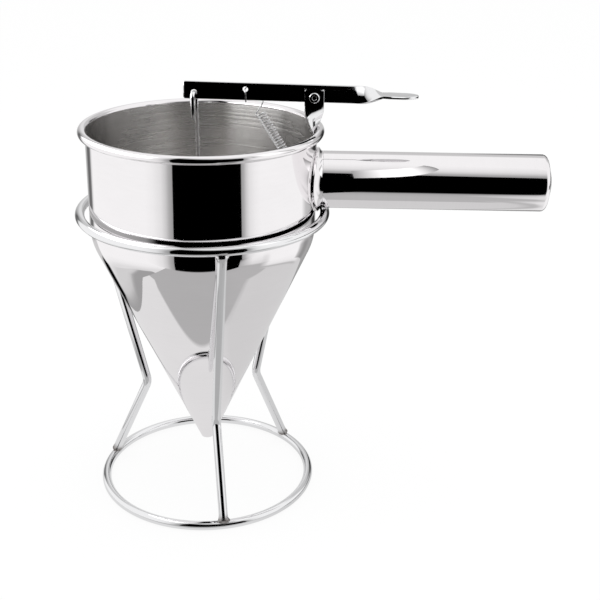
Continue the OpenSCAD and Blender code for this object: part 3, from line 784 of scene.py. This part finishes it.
# %% Make rod and plug
ROD_R, HOOK_R, HOOK_TAIL, END_CUT = 1.25, 2.6, 11.0, 0.25
ROD_FOOT, ROD_TOP = np.array([0, 0, 34.238]), np.array([-2.9503, 2.5114, 223.131])
HOOK_TURN = math.radians(-15)
rod_up = unit(ROD_TOP - ROD_FOOT)
to_front = np.array([math.sin(HOOK_TURN), -math.cos(HOOK_TURN), 0])
hook_dir = unit(to_front - (to_front @ rod_up) * rod_up)
rise = np.linspace(0, 1, 60)[:, None]
hook = arc((HOOK_R, 0), HOOK_R, 180, 0, 28)[1:]
tail_run = np.append(np.arange(1, HOOK_TAIL), [HOOK_TAIL - END_CUT, HOOK_TAIL])
tail = np.stack([np.full_like(tail_run, 2 * HOOK_R), -tail_run], -1)
bent = np.concatenate([hook, tail])
rod_path = np.concatenate([
    ROD_FOOT + rise * (ROD_TOP - ROD_FOOT),
    ROD_TOP + bent[:, :1] * hook_dir + bent[:, 1:] * rod_up])
wire_r = np.full((len(rod_path), 1), ROD_R)
wire_r[-1] = ROD_R - END_CUT
rod_shell = wire(rod_path, wire_r, np.cross(rod_up, hook_dir), sides=24)
rod = add_piece("rod_wire", rod_shell, drawn_wire)

PLUG_NOSE, PLUG_SEAT, PLUG_TOP, PLUG_R, NECK_R = (2.467, 25.507), 30.038, 34.238, 4.5, 2.15
plug_outline = np.array([
    [0, PLUG_NOSE[1]], [PLUG_NOSE[0] - 0.3, PLUG_NOSE[1]], [PLUG_NOSE[0], PLUG_NOSE[1] + 0.25],
    [PLUG_R - 0.12, PLUG_SEAT - 0.26], [PLUG_R, PLUG_SEAT + 0.05], [PLUG_R, PLUG_SEAT + 1.05],
    [PLUG_R - 0.15, PLUG_SEAT + 1.2], [NECK_R + 0.4, PLUG_SEAT + 1.6], [NECK_R, PLUG_SEAT + 2.1],
    [NECK_R, PLUG_TOP - 0.2], [NECK_R - 0.2, PLUG_TOP], [0, PLUG_TOP]])
plug_shell = revolve(plug_outline, segments=64)
plug = add_piece("plug_turned", plug_shell, mirror_tube, sharp_deg=25)
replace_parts(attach(rod, "rod"), "rod")
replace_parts(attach(plug, "rod"), "plug")

# %% [markdown]
# ## The spring
#
# A tension spring wound from 0.65 mm wire. Its middle line is a helix between
# two hooks: one through the lever, one through the bracket's foot. The hooks
# are smooth curves through a few points. The wire isn't flat, so its round
# section is carried along step by step without turning. The spring joins two
# bodies, but its mesh stays in the scene's axes, attached to neither.

# %% Wind the coil
SPRING_R, COIL_R, COIL_TURNS = 0.325, 2.375, 24
spring_top = on_lever(*SPRING_HOLE)
spring_foot = np.array([TONGUE_X, EAR_Y, FOOT_Z])
flat_foot = np.array([TONGUE_X, 0, FOOT_Z])
coil_length = np.linalg.norm(flat_foot - spring_top)
coil_down = (flat_foot - spring_top) / coil_length
coil_side = np.array([-coil_down[2], 0, coil_down[0]])
TOP_HOOK_LEN, FOOT_HOOK_LEN = 14.5, 8.0

turns = np.linspace(0, COIL_TURNS, COIL_TURNS * 28 + 1)[:, None]
reach = TOP_HOOK_LEN + (coil_length - TOP_HOOK_LEN - FOOT_HOOK_LEN) * turns / COIL_TURNS
angle = math.pi + TAU * turns
coil = (spring_top + coil_down * reach + coil_side * COIL_R * np.cos(angle)
        + np.array([0, 1.0, 0]) * COIL_R * np.sin(angle))
print("coil pitch, mm:", round(float(reach[28, 0] - reach[0, 0]), 3))


# %% Hooks, and the wire along the whole line
def through(points, steps):
    """A smooth curve through points, each piece a cubic that takes its slope
    from the neighbours; the first and last points only give directions."""
    a, b, c, d = (points[i: len(points) - 3 + i][:, None] for i in range(4))
    t = (np.arange(steps) / steps)[None, :, None]
    curve = 0.5 * (2 * b + (c - a) * t + (2 * a - 5 * b + 4 * c - d) * t**2
                   + (3 * b - a - 3 * c + d) * t**3)
    return curve.reshape(-1, 3)


FRONT_Y, BACK_Y = -1.5, 1.65
top_hook = spring_top + np.array([
    [0.4, FRONT_Y, -8.4], [0.3, FRONT_Y, -6.4], [0.1, FRONT_Y, -3.4], [-0.1, FRONT_Y, -1.1],
    [0, 0, 0.2], [1.3, BACK_Y - 0.2, 0.8], [4.2, BACK_Y, 0.9], [7.4, BACK_Y, -0.7],
    [9.2, BACK_Y, -3.8], [8.7, BACK_Y, -7.4], [6.7, BACK_Y, -11], [5.4, 1.1, -13.1]])
foot_hook = spring_foot + np.array([
    [-5.7, -1, 4.7], [-5.2, -1.2, 3], [-4.9, -0.6, 1], [-4.6, 0, -1], [-3.3, 0, -2.9],
    [-1.5, 0, -2.9], [-0.3, 0, -1.2], [0, 0, 0.8], [0, 0, 2.8], [0, 0, 4.8]])
before_coil = through(np.concatenate([top_hook, coil[:1], coil[4:5]]), 10)
after_coil = through(np.concatenate([coil[-5:-4], coil[-1:], foot_hook]), 10)[1:]
spring_path = np.concatenate([before_coil, coil, after_coil])


def carried_normals(tangent):
    """One normal for each point of a path; each is the last one, made square
    to the next direction."""
    normal = np.empty_like(tangent)
    last = unit(np.cross(tangent[0], [0, 1, 0.3]))
    for i, direction in enumerate(tangent):
        last = unit(last - (last @ direction) * direction)
        normal[i] = last
    return normal


spring_tangent = unit(np.gradient(spring_path, axis=0))
spring_shell = wire(spring_path, SPRING_R, carried_normals(spring_tangent), sides=10)
spring = add_piece("spring_coil", spring_shell, spring_wire)
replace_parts(spring, "spring")
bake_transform(spring)
print("spring rings:", len(spring_path))

# %% [markdown]
# ## A studio made of reflections
#
# Polished steel shows its surroundings, so the look of this object is decided
# by what stands round it: white walls, a dark opening in front where the
# photographer stands, and a small table whose greys are painted shade. These
# cards are seen only in reflections. The floor and the background that the camera sees are plain.


# %% Cards and their tones
def add_card(name, shell, paint):
    """A piece of the studio that is hidden from everything but reflections."""
    card = add_piece(name, shell, paint)
    card.visible_camera = card.visible_diffuse = card.visible_shadow = False
    card.visible_transmission = card.visible_volume_scatter = False
    card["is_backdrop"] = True


def emitter(name):
    """An emission material, its tree, the object coordinates for its pattern and
    the socket that the pattern goes to."""
    material = bpy.data.materials.new(name)
    material.use_nodes = True
    tree = material.node_tree
    tree.nodes.clear()
    place = add_node(tree, "ShaderNodeTexCoord").outputs["Object"]
    glow = add_node(tree, "ShaderNodeEmission")
    add_node(tree, "ShaderNodeOutputMaterial", {"Surface": glow.outputs[0]})
    return material, tree, place, glow.inputs["Strength"]


OPENING_LEFT, OPENING_RIGHT, OPENING_TOP = -22.5, 41.0, 53.0
surround, given, result = new_group(
    "surround", {"Place": "Vector"}, ["Tone", "Azimuth", "Left", "Right"])
direction = add_node(surround, "ShaderNodeVectorMath", {0: given["Place"]}, operation="NORMALIZE")
split = add_node(surround, "ShaderNodeSeparateXYZ", {"Vector": direction.outputs[0]}).outputs
frontwards = product(surround, split["Y"], -1.0)
azimuth = maths(surround, "DEGREES", maths(surround, "ARCTAN2", split["X"], frontwards))
elevation = maths(surround, "DEGREES", maths(surround, "ARCSINE", split["Z"]))
left_of = maths(surround, "SUBTRACT", OPENING_LEFT, azimuth)
right_of = product(surround, maths(surround, "SUBTRACT", azimuth, OPENING_RIGHT), 1.4)
top_edge = maths(surround, "SUBTRACT", OPENING_TOP, product(surround, azimuth, 0.4))
above = product(surround, maths(surround, "SUBTRACT", elevation, top_edge), 0.6)
outside = largest(surround, left_of, right_of, above)
tones = {
    "Tone": ramp(surround, outside, (0, 0.0), (0.3, 0.34), (4, 0.47), (7, 0.66), (11.5, 0.84),
                 (19.5, 0.95), (28, 1.0)),
    "Azimuth": azimuth,
    "Left": ramp(surround, azimuth, (-165, 0.8), (-150, 0.5), (-141, 0.12), (-134, 0.2),
                 (-130, 0.8), (-126, 1.0)),
    "Right": ramp(surround, azimuth, (117, 1.0), (121, 0.8), (126, 0.58), (138, 0.5),
                  (142, 0.2), (146, 0.04), (156, 0.04), (162, 0.6))}
for label, value in tones.items():
    surround.links.new(value, result[label])
print("surround nodes:", len(surround.nodes), "outputs:", list(tones))


def surround_tones(tree, place):
    """The outputs of the surround group, placed in a material."""
    return add_node(tree, "ShaderNodeGroup", {"Place": place}, node_tree=surround).outputs


# %% Dome
DOME_R = 900.0
rings, spokes = np.radians(np.linspace(-4, 90, 48))[:, None], np.arange(96) / 96 * TAU
dome_grid = DOME_R * np.stack([
    np.cos(rings) * np.cos(spokes), np.cos(rings) * np.sin(spokes), np.sin(rings) + 0 * spokes], -1)
dome_paint, tree, place, strength = emitter("dome_paint")
walls = surround_tones(tree, place)
height = add_node(tree, "ShaderNodeSeparateXYZ", {"Vector": place}).outputs["Z"]
high_up = ramp(tree, height, (0.3, 0.0), (0.5, 0.64), (0.63, 0.64), (0.70, 1.0))
flags = largest(tree, product(tree, walls["Left"], walls["Right"]), high_up)
skirting = ramp(tree, walls["Azimuth"], (75, 1.0), (90, 0.05), (150, 0.05), (165, 1.0))
skirting = largest(tree, skirting, ramp(tree, height, (0.1, 0.0), (0.13, 1.0)))
tree.links.new(product(tree, walls["Tone"], flags, skirting), strength)
add_card("studio_dome", {"grid": dome_grid}, dome_paint)

# %% [markdown]
# ### The table as the cone sees it
#
# The cone looks down, so it mirrors the table and not the walls. The table's
# tones are painted shade: pale grey, falling away in front, where the object's shadow and the
# photographer's dark side begin.
# Its tones are set along X, along Y and outwards from the stand, in
# millimetres, and each part of the table takes one of them.

# %% Table card
table_shade_paint, tree, place, strength = emitter("table_shade_paint")
scaled = add_node(tree, "ShaderNodeVectorMath", {0: place, "Scale": 1 / MM}, operation="SCALE")
mm = scaled.outputs[0]
xyz = add_node(tree, "ShaderNodeSeparateXYZ", {"Vector": mm}).outputs
x_mm, y_mm = xyz["X"], xyz["Y"]
distance = add_node(tree, "ShaderNodeVectorMath", {0: mm}, operation="LENGTH").outputs["Value"]
walls = surround_tones(tree, place)
far = product(tree, walls["Tone"], walls["Left"], walls["Right"])
# Painted shade: greys that follow X, the distance from the stand's axis, and the azimuth.
across, outwards, about = (
    partial(ramp, tree, value) for value in (x_mm, distance, walls["Azimuth"]))


def blend_tones(first, second, factor):
    """One tone where factor is 0, the other where it is 1."""
    return add_node(tree, "ShaderNodeMix", {"Factor": factor, "A": first, "B": second}).outputs[0]


print("table nodes, measures only:", len(tree.nodes))

# %% Left side of the table
near = across((-130, 0.81), (20, 0.80), (60, 0.685), (200, 0.68))
rising = outwards((150, 0.0), (165, 0.68), (193, 0.73), (215, 0.83), (241, 0.94), (285, 1.0))
near = largest(tree, near, product(tree, rising, across((40, 1.0), (60, 0.0))))
EDGE_X, EDGE_BEND_Y, EDGE_SLANT = -134.0, 20.0, 0.35
bend = product(tree, largest(tree, maths(tree, "SUBTRACT", EDGE_BEND_Y, y_mm), 0.0), EDGE_SLANT)
from_edge = maths(tree, "MINIMUM", EDGE_X, maths(tree, "ADD", x_mm, bend))
dark_edge = ramp(tree, from_edge, (-160, 0.70), (-150, 0.64), (-146, 0.55), (-142, 0.46),
                 (-138, 0.41), (EDGE_X, 0.38))
dark_edge = largest(
    tree, dark_edge, outwards((184, 0.0), (193, 0.72), (215, 0.83), (241, 0.94)))
beside_it = product(tree, maths(tree, "COMPARE", x_mm, -160.5, 30.0),
                    maths(tree, "COMPARE", y_mm, 0.0, 125.0))
near = blend_tones(near, dark_edge, beside_it)
print("table nodes, with the left side:", len(tree.nodes))

# %% Front of the table
FRONT_EDGE_Y, CORNER_X, CORNER_SLANT = -65.5, 98.0, 0.55
on_right = across((45, 0.0), (95, 1.0))
falling = ramp(tree, y_mm, (-300, 0.0), (-262, 0.33), (-240, 0.43), (-200, 0.465),
               (-150, 0.50), (-66, 0.50))
front_tone = blend_tones(0.475, falling, on_right)
past_corner = maths(tree, "SUBTRACT", product(tree, x_mm, -1.0), CORNER_X)
cut_corner = product(tree, largest(tree, past_corner, 0.0), CORNER_SLANT)
depth = maths(tree, "SUBTRACT", maths(tree, "SUBTRACT", FRONT_EDGE_Y, y_mm), cut_corner)
edge = blend_tones(ramp(tree, depth, (-1.5, 0.0), (1.5, 1.0)),
                   ramp(tree, depth, (-8, 0.0), (2, 1.0)), on_right)
in_front = product(tree, edge, across((-131, 0.0), (-130.5, 1.0)))
near = blend_tones(near, front_tone, in_front)
print("table nodes, with the front:", len(tree.nodes))

# %% Right side, dark patches of painted shade and the table's end
right_tone = outwards((150, 0.0), (198, 0.68), (209, 0.53), (214, 0.57), (223, 0.84),
                      (241, 0.94), (285, 1.0))
on_side = product(tree, about((62, 0.0), (72, 1.0), (118, 1.0), (130, 0.0)),
                  outwards((194, 0.0), (200, 1.0)))
near = blend_tones(near, right_tone, on_side)
corner_tone = outwards((258, 0.6), (275, 0.78), (330, 0.88), (400, 0.94))
in_corner = product(tree, outwards((255, 0.0), (260, 1.0)),
                    about((39, 0.0), (52, 1.0), (62, 1.0), (74, 0.0)))
near = blend_tones(near, corner_tone, in_corner)
low_left = largest(
    tree, about((-165, 0.45), (-147, 0.36), (-141, 0.0), (-130, 0.0), (-126, 1.0)),
    outwards((180, 1.0), (190, 0.0), (262, 0.0), (285, 0.65), (320, 0.65)))
low_right = largest(
    tree, about((113, 1.0), (118, 0.55), (126, 0.42), (133, 0.48), (142, 0.6), (157, 0.5)),
    outwards((238, 1.0), (250, 0.0)))
near = product(tree, near, low_left, low_right)

END_Y_LEFT, END_Y_RIGHT = -207.0, -300.0
table_end = blend_tones(END_Y_LEFT, END_Y_RIGHT, about((18, 0.0), (19, 1.0)))
past_end = ramp(tree, maths(tree, "SUBTRACT", table_end, y_mm), (-6, 0.0), (6, 1.0))
past_side = outwards((380, 0.0), (470, 1.0))
tone = blend_tones(near, far, largest(tree, past_end, past_side))
tree.links.new(tone, strength)
CARD_T = 0.1
card_grid = np.stack([
    np.stack([r * np.cos(spokes), r * np.sin(spokes), 0 * spokes + h], -1)
    for r, h in ((DOME_R, 0.0), (DOME_R, CARD_T), (0.0, CARD_T))])
# The card carries the table's painted shade and is seen only in reflections.
add_card("studio_table_shade_card", {"grid": card_grid}, table_shade_paint)

# %% Two black flags and a band of painted shade
FLAGS = {"studio_flag_shoulder": (-99.0, (36.0, 63.0), (104.0, 150.0)),
         "studio_flag_lever": (-12.0, (-14.0, 64.0), (213.0, 228.0))}
flag_paint, tree, place, strength = emitter("flag_paint")
strength.default_value = 0.0
for name, (y, (left, right), (low, high)) in FLAGS.items():
    corners = np.array([(left, low), (right, low), (right, high), (left, high)])
    flag_grid = np.stack([np.insert(corners, 1, y + t, axis=1) for t in (0.0, CARD_T)])
    add_card(name, {"grid": flag_grid}, flag_paint)

# The third is a thin band that stands on the top ring, in the gap round the hopper. It is painted
# shade for the crevice between band and ring: black from the front round to the right side, grey on
# the left and behind.
GAP_R, GAP_T, GAP_LOW, GAP_HIGH = 62.3, 0.05, 163.0, 165.25
gap_shade_paint, tree, place, strength = emitter("gap_shade_paint")
gap_shade_tone = ramp(tree, surround_tones(tree, place)["Azimuth"], (-180, 0.45), (-40, 0.42),
                (-24, 0.3), (-18, 0.0), (100, 0.0), (180, 0.15))
tree.links.new(gap_shade_tone, strength)
gap_outline = np.array([
    [GAP_R, GAP_LOW], [GAP_R, GAP_HIGH], [GAP_R + GAP_T, GAP_HIGH], [GAP_R + GAP_T, GAP_LOW]])
# The band carries painted shade and is seen only in reflections.
add_card("studio_gap_shade_band", revolve(gap_outline, wrap=True), gap_shade_paint)

# %% [markdown]
# ### A bright card for the bowl
#
# The inside of the band is brushed, so it gathers light from a tall strip of
# the room and loses most of it. Two bent cards near the rim, one large and
# bright on the left and one dim on the right, give the bowl its light side.

# %% Bent cards
def bent_card(name, radius, low, high, from_deg, to_deg, brightness):
    """An upright card bent round the Z axis: radius times (sin a, -cos a), from
    one azimuth to the other, with tones that soften its two ends."""
    turn = np.radians(np.linspace(from_deg, to_deg, 40))[:, None]
    reach, height = radius + 2 * CARD_T * np.array([0, 0, 1, 1]), np.array([low, high, high, low])
    grid = np.stack([np.sin(turn) * reach, -np.cos(turn) * reach, height + 0 * turn], -1)
    paint, tree, place, strength = emitter(name + "_paint")
    soft = ramp(tree, surround_tones(tree, place)["Azimuth"], (from_deg, 0.3),
                (from_deg + 12, 1.0), (to_deg - 14, 1.0), (to_deg, 0.25))
    tree.links.new(product(tree, soft, brightness), strength)
    add_card(name, {"grid": grid}, paint)


bent_card("studio_card_left", 130.0, 222.0, 300.0, -112, -28, 3.6)
bent_card("studio_card_right", 130.0, 222.0, 300.0, 40, 78, 1.3)

# %% [markdown]
# ## Floor, light and background
#
# The floor is pale and keeps the object's soft shadow; for the camera it is
# mostly its own plain white. The world is white where it is seen and a plain
# soft light elsewhere. One wide lamp above gives the shadow its direction.

# %% Floor, lamp and world
def seen_rays(tree):
    """1 for rays from the camera and for those that a mirror or glass sends on."""
    rays = add_node(tree, "ShaderNodeLightPath").outputs
    return largest(tree, rays["Is Glossy Ray"], rays["Is Transmission Ray"], rays["Is Camera Ray"])


FLOOR_R, FLOOR_Z = 3.0, -0.0001
floor_mesh = bpy.data.meshes.new("floor")
floor_mesh.from_pydata(
    [(x, y, FLOOR_Z) for x, y in (
        (-FLOOR_R, -FLOOR_R), (FLOOR_R, -FLOOR_R), (FLOOR_R, FLOOR_R), (-FLOOR_R, FLOOR_R))],
    [], [(0, 1, 2, 3)])
floor = new_object("studio_floor", floor_mesh)
floor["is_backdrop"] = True
floor_paint = bpy.data.materials.new("floor_paint")
floor_paint.use_nodes = True
tree = floor_paint.node_tree
tree.nodes.clear()
pale = add_node(tree, "ShaderNodeBsdfDiffuse", {"Color": (0.96, 0.96, 0.96, 1)})
white = add_node(tree, "ShaderNodeEmission", {"Strength": 1.0})
mixed = add_node(tree, "ShaderNodeMixShader", {
    0: product(tree, seen_rays(tree), 0.9), 1: pale.outputs[0], 2: white.outputs[0]})
add_node(tree, "ShaderNodeOutputMaterial", {"Surface": mixed.outputs[0]})
floor_mesh.materials.append(floor_paint)

world = bpy.data.worlds.new("studio_world")
bpy.context.scene.world = world
world.use_nodes = True
tree = world.node_tree
level = add_node(tree, "ShaderNodeMapRange",
                 {"Value": seen_rays(tree), "To Min": 0.95, "To Max": 1.0})
background = tree.nodes["Background"]
background.inputs["Color"].default_value = (1, 1, 1, 1)
tree.links.new(level.outputs[0], background.inputs["Strength"])

lamp = new_object("top_lamp", bpy.data.lights.new("top_lamp", "AREA"))
lamp.data.shape, lamp.data.size, lamp.data.energy = "DISK", 1.2, 7.0
lamp.matrix_world = Matrix.Translation((0.1, -0.1, 1.6))
lamp.visible_glossy = False
bpy.context.scene.view_settings.view_transform = "Standard"
print("background strength for rays seen:", level.inputs["To Max"].default_value)

# %% [markdown]
# ## Check the size and finish
#
# The dressed object has to keep the model's size.

# %% Sizes and the last line
visual_box = [list(corner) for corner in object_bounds()]
for label, box in (("CAD", cad_box), ("visual", visual_box)):
    print(label, "box, mm:", [[round(c / MM, 2) for c in corner] for corner in box])
